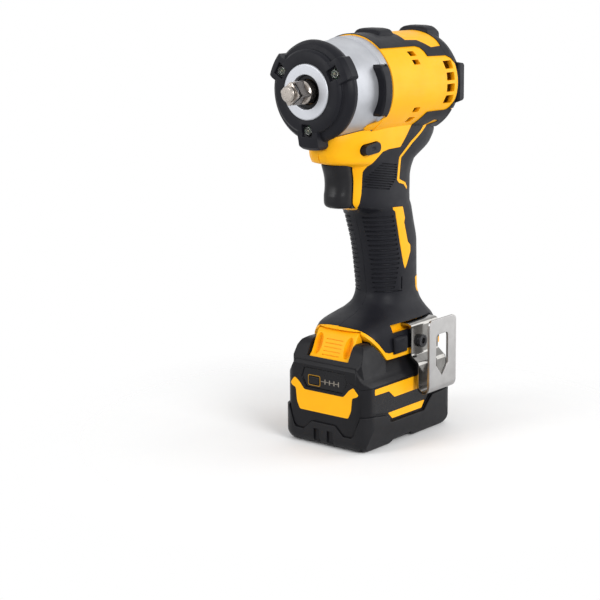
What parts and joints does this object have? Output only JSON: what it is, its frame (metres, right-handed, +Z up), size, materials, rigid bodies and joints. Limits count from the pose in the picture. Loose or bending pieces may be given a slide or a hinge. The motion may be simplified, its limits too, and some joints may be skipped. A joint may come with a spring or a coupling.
{
  "type": "cordless impact wrench",
  "caption": "Compact cordless impact wrench with a square drive, rubber nose bumper, pistol grip, side belt hook and slide-on battery.",
  "frame": {"origin": "centre of the battery's underside, on which the tool stands", "axes": "+Z up, -Y out of the nose along the drive, +X to the tool's left, where the belt hook is"},
  "size_m": [0.0705, 0.1238, 0.2255],
  "materials": {
    "housing_yellow": "fine moulded texture, satin",
    "overmould": "matt soft-touch moulding",
    "rubber_boot": "matt rubber",
    "gearcase_alloy": "bead-blasted die casting",
    "tool_steel": "hardened and bright",
    "dark_steel": "oiled black",
    "spring_steel": "drawn wire",
    "bright_steel": "polished plate",
    "bearing_steel": "ground",
    "bronze": "sintered",
    "lamination": "stacked sheet",
    "magnet": "sintered",
    "copper": "enamelled wire",
    "board": "solder mask",
    "black_plastic": "moulded, satin",
    "case_plastic": "moulded, satin",
    "gloss_panel": "gloss",
    "lens": "clear moulded lens",
    "contact": "tinned copper alloy",
    "cell_wrap": "shrink wrap"
  },
  "bodies": {
    "tool": {"housing_left": "housing_yellow", "housing_right": "housing_yellow", "grip_left": "overmould", "grip_right": "overmould", "top_bumper": "overmould", "rear_bumper": "overmould", "side_pads": "overmould", "gearcase": "gearcase_alloy", "nose_bumper": "rubber_boot", "light_board": "board", "light_lenses": "lens", "anvil_bush": "bronze", "anvil_washer": "dark_steel", "ring_gear": "tool_steel", "motor_plate": "black_plastic", "spindle_bearing": "bearing_steel", "front_bearing": "bearing_steel", "rear_bearing": "bearing_steel", "stator": "lamination", "stator_coils": "copper", "motor_board": "board", "trigger_spring": "spring_steel", "switch_module": "black_plastic", "control_module": "black_plastic", "terminal_block": "black_plastic", "terminal_blades": "contact", "housing_screws": "dark_steel", "belt_hook": "bright_steel", "belt_hook_screw": "dark_steel"},
    "anvil": {"anvil": "tool_steel", "retaining_ring": "dark_steel"},
    "spindle": {"cam_spindle": "tool_steel", "cam_balls": "bearing_steel", "planet_pins": "bearing_steel", "hammer_spring": "spring_steel"},
    "hammer": {"hammer": "tool_steel"},
    "planet_1": {"planet_1": "tool_steel"},
    "planet_2": {"planet_2": "tool_steel"},
    "planet_3": {"planet_3": "tool_steel"},
    "rotor": {"rotor_shaft": "bearing_steel", "rotor_core": "lamination", "rotor_magnets": "magnet", "cooling_fan": "black_plastic"},
    "trigger": {"trigger": "black_plastic"},
    "direction_button": {"direction_button": "black_plastic"},
    "battery": {"battery_case": "case_plastic", "battery_base": "case_plastic", "battery_boot": "rubber_boot", "gauge_panel": "gloss_panel", "battery_cells": "cell_wrap", "cell_holders": "black_plastic", "battery_board": "board", "battery_clips": "contact", "battery_screws": "dark_steel", "latch_spring": "spring_steel"},
    "battery_latch": {"battery_latch": "housing_yellow"},
    "gauge_button": {"gauge_button": "gloss_panel"}
  },
  "joints": [
    {"name": "spindle_spin", "type": "hinge", "parent": "tool", "child": "spindle", "pos_m": [0, 0, 0.1945], "axis": [0, 1, 0], "continuous": true},
    {"name": "hammer_slide", "type": "slide", "parent": "spindle", "child": "hammer", "axis": [0, 1, 0], "range_m": [0, 0.006], "stiffness_N_per_m": 9000, "deforming": ["hammer_spring"]},
    {"name": "planet_1_spin", "type": "hinge", "parent": "spindle", "child": "planet_1", "pos_m": [0.012, -0.002, 0.1945], "axis": [0, 1, 0], "continuous": true},
    {"name": "planet_2_spin", "type": "hinge", "parent": "spindle", "child": "planet_2", "pos_m": [-0.006, -0.002, 0.18411], "axis": [0, 1, 0], "continuous": true},
    {"name": "planet_3_spin", "type": "hinge", "parent": "spindle", "child": "planet_3", "pos_m": [-0.006, -0.002, 0.20489], "axis": [0, 1, 0], "continuous": true},
    {"name": "rotor_spin", "type": "hinge", "parent": "tool", "child": "rotor", "pos_m": [0, 0, 0.1945], "axis": [0, 1, 0], "continuous": true},
    {"name": "anvil_spin", "type": "hinge", "parent": "tool", "child": "anvil", "pos_m": [0, -0.05, 0.1945], "axis": [0, 1, 0], "continuous": true},
    {"name": "trigger_pull", "type": "slide", "parent": "tool", "child": "trigger", "axis": [0, 1, 0], "range_m": [0, 0.006], "stiffness_N_per_m": 700, "deforming": ["trigger_spring"]},
    {"name": "direction_shift", "type": "slide", "parent": "tool", "child": "direction_button", "axis": [1, 0, 0], "range_m": [-0.003, 0.003]},
    {"name": "battery_slide", "type": "slide", "parent": "tool", "child": "battery", "axis": [0, -1, 0], "range_m": [0, 0.09]},
    {"name": "latch_press", "type": "slide", "parent": "battery", "child": "battery_latch", "axis": [0, 0, -1], "range_m": [0, 0.003], "stiffness_N_per_m": 900, "deforming": ["latch_spring"]},
    {"name": "gauge_press", "type": "slide", "parent": "battery", "child": "gauge_button", "axis": [0, 1, 0], "range_m": [0, 0.0008], "stiffness_N_per_m": 600}
  ],
  "couplings": [
    {"joint": "planet_1_spin", "follows": "spindle_spin", "ratio": -2.6667},
    {"joint": "planet_2_spin", "follows": "spindle_spin", "ratio": -2.6667},
    {"joint": "planet_3_spin", "follows": "spindle_spin", "ratio": -2.6667},
    {"joint": "rotor_spin", "follows": "spindle_spin", "ratio": 5},
    {"joint": "anvil_spin", "follows": "spindle_spin", "ratio": 1}
  ]
}
